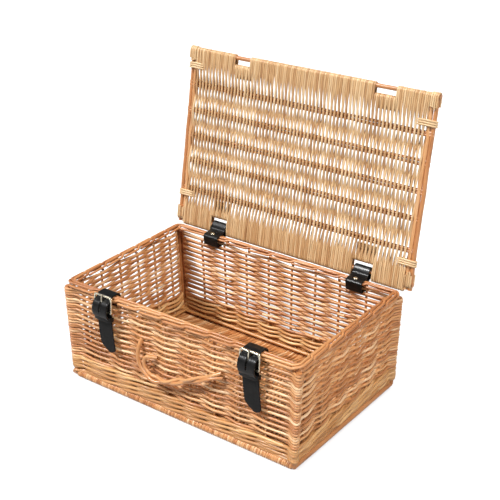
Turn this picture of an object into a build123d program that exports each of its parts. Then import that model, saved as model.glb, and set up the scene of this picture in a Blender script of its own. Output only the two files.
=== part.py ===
"""A lidded willow hamper: woven base, walls and lid, leather hinge loops, two buckled front straps
and a twisted willow bow handle.

Millimetres. +X runs along the length, -Y is the front, +Z is up. The origin is the centre of the
underside. The lid stands open, leaning back by lid_lean from upright, and the handle hangs.
"""
import os
from math import atan2, cos, degrees, radians, sin

from build123d import *

# Basket
rim_length = 460.0
rim_depth = 286.0
rim_top = 177.0
end_lean = 7.4              # each end wall is this much further in at the floor than at the rim
rim_width = 16.5
rim_height = 12.5
rim_proud = 1.0             # the rim, the waling and the base stand this far outside the walls
wall_thickness = 15.4
base_height = 11.0
waling_top = 35.0
stake_radius = 3.0
corner_post_radius = 4.2
long_wall_stakes = (23.4, 70.1, 116.8, 166.0)    # distances either side of the middle, at the rim
end_wall_stakes = (-106.0, -64.0, -21.0, 21.0, 62.0, 102.0)
base_sticks_across = (-136.0, -91.0, -45.5, 0.0, 45.5, 91.0, 136.0)
base_stick_radius = 3.6
base_end_rod_radius = 4.6
channel_clearance = 0.05    # round every rod that runs inside woven work
stake_end_gap = 0.6         # stakes and posts stop this far short of the base and the rim

# Lid, measured from the axis of its hinge stick
hinge_y = 156.0
hinge_z = 185.2
lid_lean = 9.8
lid_width = 475.5
lid_half_thickness = 6.0
lid_edge_beyond_stick = 5.5
lid_front_stick_at = 296.0
lid_sticks_at = (18.5, 53.0, 104.5, 148.5, 193.5, 238.5, 279.5)
lid_outer_stick_radius = 4.0
lid_stick_radius = 3.0
lid_side_rod_radius = 3.8
lid_side_rods_per_side = 2
lid_side_rod_height = 9.6
binding_length = 11.0
binding_height = 14.5
lid_bindings = ((-1, 269.5), (1, 254.5), (-1, 43.5), (1, 33.5))    # side and distance from the hinge
lid_strap_slots = ((-142.0, -114.0), (129.0, 165.0))
lid_strap_slot_from = 284.0

# Leather
leather = 2.2
leather_width = 30.0
leather_gap = 0.2           # between leather and what it bears on
hinge_loops_at = {"left": -144.5, "right": 147.0}
hinge_loop_let_in = 1.8     # how far the loop beds into the rim
hinge_slot_width = 32.0
hinge_slot_depth = 12.5
rivet_y = 131.0
rivet_head_radius = 4.0
rivet_shank_radius = 1.8
rivet_head_height = 1.1

# Front straps and buckles: "out" is the distance in front of the basket's middle
straps_at = {"left": -138.0, "right": 147.0}
strap_tips = {"left": 83.0, "right": 79.0}
strap_entry_z = 150.0
pivot_bar_out, pivot_bar_z = 149.6, 152.0
top_bar_out, top_bar_z = 147.4, 178.5
buckle_bar_radius = 1.6
buckle_width = 37.0
tail_out = 146.5
tail_hinge_z = 131.4
tail_width = 29.0
keeper_bottom, keeper_top = 134.0, 142.5
keeper_thickness = 1.6
prong_radius = 1.3
prong_bore_gap = 0.4
prong_ring_wall = 2.0
prong_slot_width = 4.6
prong_slot_below = 7.0      # how far below the pivot bar the slot in the strap reaches

# Handle: distances along the wall and down from the axis through its two ends
handle_axis_out = 145.0
handle_axis_z = 119.0
handle_tip_out = 151.5
handle_bow = ((-62, 0), (-56, 29), (-42, 47), (-18, 55), (13, 49), (50, 27), (88, 0))
handle_rod_radius = 2.6
handle_rod_offset = 2.75
handle_pocket_depth = 2.6
handle_pocket_half_width = 8.5

wall_out = rim_depth / 2 - rim_proud
wall_mid_out = wall_out - wall_thickness / 2
weave_top = rim_top - rim_height


def wall_half_length(z):
    """Outside face of an end wall at height z."""
    return rim_length / 2 - rim_proud - end_lean * (1 - z / rim_top)


def block(x, y, z):
    """A box between pairs of limits on each axis."""
    size = [max(pair) - min(pair) for pair in (x, y, z)]
    centre = [sum(pair) / 2 for pair in (x, y, z)]
    return Pos(*centre) * Box(*size)


def rod(start, end, radius):
    start, end = Vector(*start), Vector(*end)
    return Solid.make_cylinder(radius, (end - start).length, Plane(origin=start, z_dir=end - start))


def channels(rods, clearance=channel_clearance):
    """The rods of a list, slightly fatter, to be cut from the woven work round them."""
    return [rod(start, end, radius + clearance) for start, end, radius in rods]


def solids(rods):
    return Compound([rod(start, end, radius) for start, end, radius in rods])


def band(points, radii, width, centre_x, thickness=leather):
    """A strip of leather: a path in the plane of Y and Z, thickened and made width wide along X."""
    with BuildSketch(Plane.YZ) as outline:
        with BuildLine():
            FilletPolyline(*points, radius=radii)
        trace(line_width=thickness)
    strip = extrude(outline.sketch, amount=width)
    return Pos(centre_x - width / 2, 0, 0) * strip


def ring(z_low, z_high, proud, width, corner_radius):
    """A rectangular ring that follows the lean of the end walls."""
    def outline(z, inset):
        half_x = wall_half_length(z) + proud - inset
        half_y = wall_out + proud - inset
        radius = corner_radius if inset == 0 else 1.0
        return Pos(0, 0, z) * RectangleRounded(2 * half_x, 2 * half_y, radius)

    outside = loft([outline(z_low, 0), outline(z_high, 0)])
    inside = loft([outline(z_low, width), outline(z_high, width)])
    return outside - inside


# Rods of the walls and base --------------------------------------------------------------------

stake_ends = (base_height + stake_end_gap, weave_top - stake_end_gap)


def long_wall_rods(side):
    rods = []
    for distance in long_wall_stakes:
        for hand in (-1, 1):
            ends = []
            for z in stake_ends:
                x = hand * distance * wall_half_length(z) / wall_half_length(rim_top)
                ends.append((x, side * wall_mid_out, z))
            rods.append((*ends, stake_radius))
    return rods


def end_wall_x(side, z):
    return side * (wall_half_length(z) - wall_thickness / 2)


def end_wall_rods(side):
    return [
        (*[(end_wall_x(side, z), y, z) for z in stake_ends], stake_radius)
        for y in end_wall_stakes
    ]


def corner_rods():
    return [
        (*[(end_wall_x(x_side, z), y_side * wall_mid_out, z) for z in stake_ends], corner_post_radius)
        for x_side in (-1, 1)
        for y_side in (-1, 1)
    ]


def base_rods():
    reach = wall_half_length(0) - 2 * base_end_rod_radius - 1
    middle = base_height / 2
    return [((-reach, y, middle), (reach, y, middle), base_stick_radius) for y in base_sticks_across]


def base_end_rods():
    x = wall_half_length(0) + rim_proud - base_end_rod_radius
    y = wall_out
    middle = base_height / 2
    return [((side * x, -y, middle), (side * x, y, middle), base_end_rod_radius) for side in (-1, 1)]


# Woven work of the basket ----------------------------------------------------------------------

def base_weave():
    half_x = wall_half_length(0) - 2 * base_end_rod_radius
    half_y = wall_out + rim_proud
    slab = block((-half_x, half_x), (-half_y, half_y), (0, base_height))
    slab = fillet(slab.edges().filter_by(Axis.X), 3.5)
    return slab - channels(base_rods())


def bottom_waling():
    waling = ring(base_height, waling_top, rim_proud, wall_thickness + 2 * rim_proud, 8.0)
    inner_rods = corner_rods()
    for side in (-1, 1):
        inner_rods += long_wall_rods(side) + end_wall_rods(side)
    return waling - channels(inner_rods)


def long_wall_weave(side):
    low, high = wall_half_length(waling_top), wall_half_length(weave_top)
    outline = Polygon(
        (-low, waling_top), (low, waling_top), (high, weave_top), (-high, weave_top), align=None
    )
    panel = extrude(Plane.XZ * outline, amount=wall_thickness)
    panel = Pos(0, wall_thickness + side * wall_mid_out - wall_thickness / 2, 0) * panel
    return panel - channels(long_wall_rods(side)) - channels(corner_rods())


def end_wall_weave(side):
    half_y = wall_out - wall_thickness
    low, high = wall_half_length(waling_top), wall_half_length(weave_top)
    outline = Polygon(
        (low - wall_thickness, waling_top), (low, waling_top),
        (high, weave_top), (high - wall_thickness, weave_top), align=None
    )
    panel = Pos(0, half_y, 0) * extrude(Plane.XZ * outline, amount=2 * half_y)
    if side < 0:
        panel = mirror(panel, about=Plane.YZ)
    return panel - channels(end_wall_rods(side))


def wall_slots(positions, z, side):
    """Gaps between two rows of weaving, where a strip of leather passes through a long wall."""
    half_width = leather_width / 2 + leather_gap
    half_height = leather / 2 + leather_gap
    return [
        block((x - half_width, x + half_width), (side * (wall_out - 20), side * (wall_out + 5)),
              (z - half_height, z + half_height))
        for x in positions.values()
    ]


def handle_pockets():
    """Hollows in the front wall that the ends of the handle turn in."""
    ends = (handle_bow[0][0], handle_bow[-1][0])
    return [
        block((x - handle_pocket_half_width, x + handle_pocket_half_width),
              (-wall_out - 5, -wall_out + handle_pocket_depth), (handle_axis_z - 22, handle_axis_z + 7))
        for x in ends
    ]


hinge_entry_z = weave_top - leather / 2 - leather_gap - 0.5


def front_weave():
    return long_wall_weave(-1) - wall_slots(straps_at, strap_entry_z, -1) - handle_pockets()


def back_weave():
    return long_wall_weave(1) - wall_slots(hinge_loops_at, hinge_entry_z, 1)


def rim_border():
    rim = ring(weave_top, rim_top, rim_proud, rim_width, 9.0)
    rim = fillet(rim.edges().group_by(Axis.Z)[-1], 4.0)
    bed = leather_width / 2 + leather_gap
    for name, x in hinge_loops_at.items():
        rim -= block((x - bed, x + bed), (rim_depth / 2 - 30, rim_depth / 2 + 5),
                     (rim_top - hinge_loop_let_in, rim_top + 5))
        rim -= rod((x, rivet_y, weave_top), (x, rivet_y, rim_top), rivet_shank_radius)
    return rim


# Hinge loops -----------------------------------------------------------------------------------

def hinge_loop(x):
    """Leather round the back of the rim and round the hinge stick, as one closed loop."""
    bed_z = rim_top - hinge_loop_let_in + leather / 2
    inside_y = rim_depth / 2 - rim_width - leather / 2 - leather_gap
    outside_y = rim_depth / 2 + leather / 2 + leather_gap
    reach = lid_outer_stick_radius + 0.7 + leather / 2
    points = [
        (inside_y, hinge_entry_z + 6), (inside_y, bed_z), (hinge_y - reach, bed_z),
        (hinge_y - reach, hinge_z + reach), (hinge_y + reach, hinge_z + reach),
        (hinge_y + reach, hinge_z - 8), (outside_y, hinge_entry_z + 7), (outside_y, hinge_entry_z),
        (inside_y, hinge_entry_z), (inside_y, hinge_entry_z + 6.01),
    ]
    loop = band(points, [1.6, 3.0, reach - 0.1, reach - 0.1, 4.0, 2.0, 1.6, 1.6], leather_width, x)
    return loop - rod((x, rivet_y, bed_z - 3), (x, rivet_y, bed_z + 3), rivet_shank_radius)


def hinge_rivet(x):
    top = rim_top - hinge_loop_let_in + leather
    shank = rod((x, rivet_y, weave_top + 1), (x, rivet_y, top), rivet_shank_radius)
    head = rod((x, rivet_y, top), (x, rivet_y, top + rivet_head_height), rivet_head_radius)
    head = fillet(head.edges().group_by(Axis.Z)[-1], rivet_head_height * 0.8)
    return shank + head


# Front straps ----------------------------------------------------------------------------------

def strap_band(x):
    """Folded behind the pivot bar, in through the wall, up inside, over the rim and down through
    the buckle to the keeper."""
    reach = buckle_bar_radius + leather_gap + leather / 2
    behind = pivot_bar_out - reach
    inside = wall_out - rim_width + rim_proud - leather / 2 - leather_gap
    over = rim_top + leather / 2 + leather_gap
    face = rim_depth / 2 + leather / 2 + leather_gap
    points = [
        (behind, pivot_bar_z + 8), (behind, strap_entry_z), (inside, strap_entry_z), (inside, over),
        (face, over), (face, rim_top - 8), (pivot_bar_out + reach, pivot_bar_z + 2),
        (pivot_bar_out + reach, pivot_bar_z - 2.5), (tail_out, keeper_top + 1), (tail_out, keeper_bottom - 0.5),
    ]
    points = [(-out, z) for out, z in points]
    radii = [1.6, 1.6, 3.0, 3.0, 6.0, 3.0, 2.2, 2.5]
    strip = band(points, radii, leather_width, x)
    half_slot = prong_slot_width / 2
    return strip - block((x - half_slot, x + half_slot), (-pivot_bar_out - 10, -face - leather / 2 - 0.05),
                         (pivot_bar_z - prong_slot_below, rim_top - 3.5))


def keeper(x):
    """A band of leather round the strap below the buckle."""
    inner_x = leather_width / 2 + leather_gap
    inner_out = leather / 2 + leather_gap
    height = (keeper_bottom, keeper_top)
    outer_x, outer_out = inner_x + keeper_thickness, inner_out + keeper_thickness
    outside = block((x - outer_x, x + outer_x), (-tail_out - outer_out, -tail_out + outer_out), height)
    outside = fillet(outside.edges().filter_by(Axis.Z), keeper_thickness)
    inside = block((x - inner_x, x + inner_x), (-tail_out - inner_out, -tail_out + inner_out), height)
    return outside - inside


def strap_tail(x, tip):
    """The free end of the strap. It lifts about the line where it leaves the keeper."""
    half = leather / 2
    flat = block((x - tail_width / 2, x + tail_width / 2), (-tail_out - half, -tail_out + half),
                 (tip, tail_hinge_z))
    lower = flat.edges().filter_by(Axis.Y).group_by(Axis.Z)[0]
    flat = fillet(lower, tail_width * 0.42)
    bead = rod((x - tail_width / 2, -tail_out, tail_hinge_z), (x + tail_width / 2, -tail_out, tail_hinge_z), half)
    return flat + bead


def buckle_plane(x):
    rise = Vector(0, -(top_bar_out - pivot_bar_out), top_bar_z - pivot_bar_z)
    middle = Vector(x, -(top_bar_out + pivot_bar_out) / 2, (top_bar_z + pivot_bar_z) / 2)
    return Plane(origin=middle, x_dir=(1, 0, 0), z_dir=Vector(1, 0, 0).cross(rise))


def buckle_frame(x):
    rise = Vector(0, top_bar_out - pivot_bar_out, top_bar_z - pivot_bar_z).length
    bar = 2 * buckle_bar_radius
    outside = RectangleRounded(buckle_width, rise + bar, 4.0)
    inside = RectangleRounded(buckle_width - 2 * bar, rise - bar, 2.4)
    frame = extrude(outside - inside, amount=buckle_bar_radius, both=True)
    frame = fillet(frame.edges().filter_by(GeomType.LINE).filter_by(Plane.XY), 1.2)
    return buckle_plane(x).location * frame


def buckle_prong(x):
    """A ring round the pivot bar and a pin whose end rests on the top bar."""
    bore = buckle_bar_radius + prong_bore_gap
    half = prong_radius
    pivot = (-pivot_bar_out, pivot_bar_z)
    ends = [(x - half, *pivot), (x + half, *pivot)]
    eye = rod(*ends, bore + prong_ring_wall) - rod((x - half - 1, *pivot), (x + half + 1, *pivot), bore)
    start = (x, -pivot_bar_out - bore - prong_radius, pivot_bar_z)
    tip_out = top_bar_out + buckle_bar_radius + 0.35 + prong_radius
    pin = rod(start, (x, -tip_out, top_bar_z + 3.5), prong_radius * 0.98)
    pin = fillet(pin.edges().group_by(Axis.Z)[-1], prong_radius * 0.8)
    return eye + pin


# Handle ----------------------------------------------------------------------------------------

def handle_rod(offset):
    """One of the two rods of the bow, offset to one side of its middle line."""
    middle = [Vector(x, -down, 0) for x, down in handle_bow]
    points = []
    for before, point, after in zip(middle[:1] + middle, middle, middle[1:] + middle[-1:]):
        along = (after - before).normalized()
        points.append(point + Vector(-along.Y, along.X, 0) * offset)
    with BuildPart() as bow:
        with BuildLine() as path:
            FilletPolyline(*points, radius=24)
        with BuildSketch(Plane(origin=path.line @ 0, z_dir=path.line % 0)):
            Circle(handle_rod_radius)
        sweep()
    tilt = degrees(atan2(handle_tip_out - handle_axis_out, max(down for x, down in handle_bow)))
    return Pos(0, -handle_axis_out, handle_axis_z) * Rot(90 - tilt, 0, 0) * bow.part


# Lid, built flat: X along the length, Y away from the hinge stick, Z towards the inside ----------

def lid_place():
    lean = radians(lid_lean)
    inward = (0, -cos(lean), sin(lean))
    return Plane(origin=(0, hinge_y, hinge_z), x_dir=(1, 0, 0), z_dir=inward).location


lid_stick_reach = lid_width / 2 + 1.5
lid_weave_half = lid_width / 2 - 2 * lid_side_rods_per_side * lid_side_rod_radius


def lid_rods(positions, radius):
    return [((-lid_stick_reach, y, 0), (lid_stick_reach, y, 0), radius) for y in positions]


def all_lid_rods():
    return lid_rods((0, lid_front_stick_at), lid_outer_stick_radius) + lid_rods(lid_sticks_at, lid_stick_radius)


lid_y_limits = (-lid_edge_beyond_stick, lid_front_stick_at + lid_edge_beyond_stick)


def binding_block(hand, y, grow=0.0):
    inner = lid_weave_half - 13
    outer = lid_width / 2 + 0.8 + grow
    half_height = binding_height / 2 + grow
    half_length = binding_length / 2 + grow
    return block((hand * (inner - grow), hand * outer), (y - half_length, y + half_length),
                 (-half_height, half_height))


def lid_side_rods(grow=0.0):
    bars = []
    low, high = lid_y_limits
    for hand in (-1, 1):
        for index in range(lid_side_rods_per_side):
            outer = hand * (lid_width / 2 - 2 * lid_side_rod_radius * index)
            inner = outer - hand * 2 * lid_side_rod_radius
            bar = block((inner, outer), (low, high), (-lid_side_rod_height / 2, lid_side_rod_height / 2))
            bars.append(fillet(bar.edges().filter_by(Axis.Y), 2.6))
    return bars


def lid_bound_rods():
    sticks = channels(all_lid_rods())
    return Compound([solid for bar in lid_side_rods() for solid in (bar - sticks).solids()])


def lid_corner_bindings():
    bars = lid_side_rods()
    pieces = []
    for hand, y in lid_bindings:
        piece = fillet(binding_block(hand, y).edges().filter_by(Axis.Y), 2.0)
        pieces += (piece - bars).solids()
    return Compound(pieces)


def lid_weave():
    low, high = lid_y_limits
    half = lid_half_thickness
    panel = block((-lid_weave_half, lid_weave_half), (low, high), (-half, half))
    panel = fillet(panel.edges().filter_by(Axis.X), 4.0)
    panel -= channels(all_lid_rods())
    panel -= [binding_block(hand, y, 0.05) for hand, y in lid_bindings]
    for left, right in lid_strap_slots:
        panel -= block((left, right), (lid_strap_slot_from, high + 1), (-half - 1, half + 1))
    for x in hinge_loops_at.values():
        panel -= block((x - hinge_slot_width / 2, x + hinge_slot_width / 2), (low - 1, hinge_slot_depth),
                       (-half - 1, half + 1))
    return panel


def build():
    place = lid_place()
    parts = {
        "base_weave": base_weave(),
        "base_sticks": solids(base_rods()),
        "base_end_rods": solids(base_end_rods()),
        "bottom_waling": bottom_waling(),
        "front_weave": front_weave(),
        "back_weave": back_weave(),
        "left_weave": end_wall_weave(-1),
        "right_weave": end_wall_weave(1),
        "front_stakes": solids(long_wall_rods(-1)),
        "back_stakes": solids(long_wall_rods(1)),
        "left_stakes": solids(end_wall_rods(-1)),
        "right_stakes": solids(end_wall_rods(1)),
        "corner_posts": solids(corner_rods()),
        "rim_border": rim_border(),
        "lid_weave": place * lid_weave(),
        "lid_hinge_stick": place * solids(lid_rods((0,), lid_outer_stick_radius)),
        "lid_front_stick": place * solids(lid_rods((lid_front_stick_at,), lid_outer_stick_radius)),
        "lid_cross_sticks": place * solids(lid_rods(lid_sticks_at, lid_stick_radius)),
        "lid_side_rods": place * lid_bound_rods(),
        "lid_corner_bindings": place * lid_corner_bindings(),
        "handle_outer_rod": handle_rod(-handle_rod_offset),
        "handle_inner_rod": handle_rod(handle_rod_offset),
    }
    for side, x in hinge_loops_at.items():
        parts[f"{side}_hinge_loop"] = hinge_loop(x)
        parts[f"{side}_hinge_rivet"] = hinge_rivet(x)
    for side, x in straps_at.items():
        parts[f"{side}_strap_band"] = strap_band(x)
        parts[f"{side}_strap_tail"] = strap_tail(x, strap_tips[side])
        parts[f"{side}_strap_keeper"] = keeper(x)
        parts[f"{side}_buckle_frame"] = buckle_frame(x)
        parts[f"{side}_buckle_prong"] = buckle_prong(x)
    return parts


os.makedirs("parts", exist_ok=True)
for name, shape in build().items():
    export_step(shape, f"parts/{name}.step")
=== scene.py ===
import math
import random

import bmesh
import bpy
from mathutils import Matrix, Quaternion, Vector, noise


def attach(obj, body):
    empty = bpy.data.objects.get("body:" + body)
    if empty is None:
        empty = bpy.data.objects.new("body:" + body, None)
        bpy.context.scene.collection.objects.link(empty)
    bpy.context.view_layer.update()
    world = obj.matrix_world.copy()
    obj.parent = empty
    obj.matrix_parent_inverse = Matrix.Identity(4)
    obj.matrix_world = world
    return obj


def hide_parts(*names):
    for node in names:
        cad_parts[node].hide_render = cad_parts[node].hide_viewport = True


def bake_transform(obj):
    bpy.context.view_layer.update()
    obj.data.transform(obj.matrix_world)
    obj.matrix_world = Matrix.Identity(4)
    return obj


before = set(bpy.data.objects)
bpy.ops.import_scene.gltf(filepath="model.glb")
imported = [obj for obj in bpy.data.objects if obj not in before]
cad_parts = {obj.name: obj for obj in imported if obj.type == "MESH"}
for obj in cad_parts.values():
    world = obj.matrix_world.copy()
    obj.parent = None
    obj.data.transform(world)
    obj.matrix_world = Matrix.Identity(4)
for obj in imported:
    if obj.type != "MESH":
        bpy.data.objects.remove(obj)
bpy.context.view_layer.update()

# ------------------------ sizes, in millimetres

MM = 0.001

# The basket. The end walls lean in by END_LEAN at the foot. The posts stand inside the walls' face.
BASE_HEIGHT = 11.0
RIM_TOP = 177.0
END_LEAN = 7.4
HALF_LENGTH = 229.0
POST_INSET = 7.7
POST_LINE_Y = 134.3
RIM_HALF_X = 221.75
RIM_HALF_Y = 134.75

# The stakes: how far each way from the middle of a long wall, and where along an end wall.
LONG_STAKES = (23.4, 70.1, 116.8, 166.0)
LONG_WALL_HALF = 221.3
END_STAKES = (-106.0, -64.0, -21.0, 21.0, 62.0, 102.0)
POST_RADIUS = 4.2

# The lid, held open. Its sticks are placed by their height above the hinge line.
LID_HINGE_Y = 156.0
LID_HINGE_Z = 185.2
LID_LEAN = math.radians(9.8)
LID_HALF_WIDTH = 237.75
LID_WEAVE_HALF = 222.55
LID_STICKS = (53.0, 104.5, 148.5, 193.5, 238.5)
LID_BAND_STICKS = (18.5, 279.5)
LID_END_STICKS = (0.0, 296.0)
# How far the weave and the side rods reach below the hinge line.
LID_HEM = 9.0
SIDE_HEM = 10.0
STRAP_SLOTS = ((-142.0, -114.0), (129.0, 165.0))
HINGE_SLOTS = ((-160.5, -128.5), (131.0, 163.0))

# The middles of the front straps and of the hinge straps along the length.
STRAP_X = {"left": -138.0, "right": 147.0}
HINGE_X = {"left": -144.5, "right": 147.0}

# ------------------------ finishes


class Signal:
    """A socket's output, so that sums on it add Math nodes."""

    def __init__(self, finish, socket):
        self.finish = finish
        self.socket = socket

    def sum(self, operation, *values):
        return self.finish.node("Math", {"operation": operation}, dict(enumerate(values)))

    def __add__(self, other):
        return self.sum("ADD", self, other)

    def __sub__(self, other):
        return self.sum("SUBTRACT", self, other)

    def __rsub__(self, other):
        return self.sum("SUBTRACT", other, self)

    def __mul__(self, other):
        return self.sum("MULTIPLY", self, other)

    def size(self):
        return self.sum("ABSOLUTE", self)

    def larger(self, other):
        return self.sum("MAXIMUM", self, other)

    def between(self, low, high):
        """0 below low, 1 above high, smooth in between."""
        sockets = {"Value": self, "From Min": low, "From Max": high}
        return self.finish.node("MapRange", {"interpolation_type": "SMOOTHSTEP"}, sockets)


class Finish:
    """One material: a Principled surface and the nodes that vary it."""

    def __init__(self, name, **constants):
        self.material = bpy.data.materials.new(name)
        self.material.use_nodes = True
        self.tree = self.material.node_tree
        self.tree.nodes.clear()
        self.surface = self.tree.nodes.new("ShaderNodeBsdfPrincipled")
        output = self.tree.nodes.new("ShaderNodeOutputMaterial")
        self.tree.links.new(self.surface.outputs[0], output.inputs["Surface"])
        for key, value in constants.items():
            self.surface.inputs[key.replace("_", " ")].default_value = value

    def node(self, kind, settings=None, sockets=None, out=0):
        made = self.tree.nodes.new("ShaderNode" + kind)
        for key, value in (settings or {}).items():
            if key == "stops":
                self.set_stops(made.color_ramp, value)
            else:
                setattr(made, key, value)
        for key, value in (sockets or {}).items():
            self.feed(self.find(made, key), value)
        return Signal(self, made.outputs[out])

    @staticmethod
    def find(made, key):
        if isinstance(key, int):
            return made.inputs[key]
        return next(s for s in made.inputs if key in (s.identifier, s.name))

    @staticmethod
    def set_stops(ramp, stops):
        while len(ramp.elements) < len(stops):
            ramp.elements.new(1.0)
        for element, (place, colour) in zip(ramp.elements, stops):
            element.position = place
            element.color = (*colour, 1.0)

    def feed(self, socket, value):
        if isinstance(value, Signal):
            self.tree.links.new(value.socket, socket)
        elif isinstance(value, tuple) and socket.type == "RGBA":
            socket.default_value = (*value, 1.0)
        else:
            socket.default_value = value

    def drive(self, key, value):
        self.feed(self.surface.inputs[key], value)

    def mix(self, amount, first, second):
        sockets = {"Factor_Float": amount, "A_Color": first, "B_Color": second}
        return self.node("Mix", {"data_type": "RGBA"}, sockets, 2)

    def stretch(self, vector, scale):
        return self.node("VectorMath", {"operation": "MULTIPLY"}, {0: vector, 1: scale})

    def grain(self, vector, scale, detail=2.0, rough=0.5):
        sockets = {"Vector": vector, "Scale": scale, "Detail": detail, "Roughness": rough}
        return self.node("TexNoise", {}, sockets)

    def cells(self, vector, scale):
        """Distance from the nearest of many scattered points."""
        return self.node("TexVoronoi", {"feature": "F1"}, {"Vector": vector, "Scale": scale})

    def bump(self, height, strength, distance, under=None):
        sockets = {"Height": height, "Strength": strength, "Distance": distance}
        if under is not None:
            sockets["Normal"] = under
        return self.node("Bump", {}, sockets)


def willow(name, stops, brown, sheen_rough):
    """Peeled willow: a tone for each rod, streaks along it, bud marks and a satin skin."""
    finish = Finish(name, Coat_Weight=0.45, Coat_Roughness=0.28, IOR=1.5)
    along = finish.node("Attribute", {"attribute_name": "rod_space"}, {}, "Vector")
    tone = finish.node("Attribute", {"attribute_name": "rod_tone"}, {}, "Fac")
    drift = finish.grain(finish.stretch(along, (14.0, 60.0, 60.0)), 1.0, 2.0)
    streak = finish.grain(finish.stretch(along, (45.0, 1300.0, 1300.0)), 1.0, 3.0, 0.6)
    fibre = finish.grain(finish.stretch(along, (160.0, 4200.0, 4200.0)), 1.0, 2.0)
    shade = tone * 0.7 + drift * 0.6 + streak * 0.4 - 0.32
    base = finish.node("ValToRGB", {"stops": stops}, {"Fac": shade})
    bud = finish.cells(finish.stretch(along, (17.0, 260.0, 260.0)), 1.0)
    mark = 1.0 - bud.between(0.10, 0.24)
    stain = finish.grain(finish.stretch(along, (22.0, 300.0, 300.0)), 1.0, 1.0).between(0.60, 0.78)
    worn = finish.mix(mark * 0.55 + stain * 0.35, base, brown)
    finish.drive("Base Color", worn)
    finish.drive("Roughness", streak * 0.22 + sheen_rough)
    relief = finish.bump(streak + fibre * 0.5, 0.35, 0.0004)
    finish.drive("Normal", finish.bump(mark, 0.4, 0.0004, relief))
    return finish.material


def leather(name, colour, dust, gloss, grain_size):
    """Dyed leather: fine pebble grain, soft creases and dust on the high spots."""
    finish = Finish(name, Coat_Weight=0.08, Coat_Roughness=0.1, Specular_IOR_Level=0.22)
    place = finish.node("TexCoord", {}, {}, "Object")
    pebble = finish.cells(place, 1.0 / grain_size)
    crease = finish.grain(finish.stretch(place, (90.0, 260.0, 260.0)), 1.0, 4.0, 0.6)
    patch = finish.grain(place, 55.0, 3.0)
    wear = patch.between(0.52, 0.72)
    finish.drive("Base Color", finish.mix(wear * 0.5 + pebble * 0.2, colour, dust))
    finish.drive("Roughness", crease * 0.3 + patch * 0.16 + gloss)
    relief = finish.bump(pebble, 0.25, 0.0003)
    finish.drive("Normal", finish.bump(crease, 0.35, 0.0006, relief))
    return finish.material


def brass(name, colour, dull, gloss):
    """Pale brass plate: brushed, a little dull where fingers reach."""
    finish = Finish(name, Metallic=1.0)
    place = finish.node("TexCoord", {}, {}, "Object")
    brushed = finish.grain(finish.stretch(place, (300.0, 2600.0, 2600.0)), 1.0, 2.0)
    smear = finish.grain(place, 140.0, 3.0).between(0.4, 0.7)
    finish.drive("Base Color", finish.mix(smear, colour, dull))
    finish.drive("Roughness", smear * 0.16 + brushed * 0.1 + gloss)
    finish.drive("Normal", finish.bump(brushed, 0.12, 0.0001))
    return finish.material


WALL_STOPS = (
    (0.0, (0.32, 0.105, 0.028)),
    (0.35, (0.52, 0.215, 0.072)),
    (0.7, (0.66, 0.335, 0.135)),
    (1.0, (0.88, 0.62, 0.37)),
)
WALE_STOPS = (
    (0.0, (0.36, 0.145, 0.040)),
    (0.4, (0.57, 0.275, 0.092)),
    (1.0, (0.78, 0.49, 0.22)),
)
LID_STOPS = (
    (0.0, (0.38, 0.17, 0.060)),
    (0.35, (0.60, 0.36, 0.165)),
    (1.0, (0.80, 0.58, 0.33)),
)
wall_willow = willow("peeled_willow", WALL_STOPS, (0.16, 0.045, 0.012), 0.33)
wale_willow = willow("butt_willow", WALE_STOPS, (0.18, 0.055, 0.014), 0.31)
bow_willow = willow("bow_willow", WALL_STOPS, (0.20, 0.07, 0.018), 0.24)
lid_willow = willow("lid_willow", LID_STOPS, (0.24, 0.095, 0.03), 0.38)
LEATHER_DUST = (0.011, 0.0105, 0.010)
black_leather = leather("black_leather", (0.003, 0.003, 0.003), LEATHER_DUST, 0.16, 0.0011)
dull_leather = leather("dull_leather", (0.0045, 0.0042, 0.004), LEATHER_DUST, 0.45, 0.0007)
pale_brass = brass("pale_brass", (0.86, 0.80, 0.64), (0.60, 0.52, 0.38), 0.14)

# ------------------------ helpers


def smooth(t):
    t = min(1.0, max(0.0, t))
    return t * t * (3.0 - 2.0 * t)


def lerp(a, b, t):
    return a + (b - a) * t


def sway(place, seed, size):
    """A slow wander of about +-size as place goes up by one."""
    return size * 2.0 * noise.noise(Vector((place, seed * 7.31, 0.5)))


def catmull(values, t):
    """A smooth curve from the second of four values to the third."""
    a, b, c, d = values
    square = (2.0 * a - 5.0 * b + 4.0 * c - d) * t * t
    cube = (3.0 * b - a - 3.0 * c + d) * t ** 3
    return 0.5 * (2.0 * b + (c - a) * t + square + cube)


def along_path(knots, parts):
    """Points on a smooth line through the knots, with this many parts from knot to knot."""
    line = []
    for k in range(parts * (len(knots) - 1) + 1):
        below = min(k // parts, len(knots) - 2)
        ring = [knots[max(0, min(len(knots) - 1, below + j))] for j in (-1, 0, 1, 2)]
        part = k / parts - below
        line.append(Vector([catmull([knot[axis] for knot in ring], part) for axis in range(3)]))
    return line


def evenly(low, high, count):
    """count + 1 values from low to high."""
    return [lerp(low, high, k / count) for k in range(count + 1)]


def in_scene(name, data):
    made = bpy.data.objects.new(name, data)
    bpy.context.scene.collection.objects.link(made)
    return made


def mesh_from(bm, name, rounded):
    """Ends a bmesh as a mesh, its faces shaded smooth if rounded."""
    for face in bm.faces:
        face.smooth = rounded
    mesh = bpy.data.meshes.new(name)
    bm.to_mesh(mesh)
    bm.free()
    return mesh


def place_piece(name, mesh, material, body, stands_for, span=None):
    """Puts a mesh in the scene on its body. Given a span, the mesh is only baked in place and put on
    no body.
    """
    piece = in_scene(name, mesh)
    mesh.materials.append(material)
    if span:
        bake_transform(piece)
    else:
        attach(piece, body)
    if stands_for:
        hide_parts(*stands_for)
    return piece


# ------------------------ rods

# Each rod's finish starts at a different place, up to this far along, in metres.
FAR_ALONG = 40.0


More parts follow.
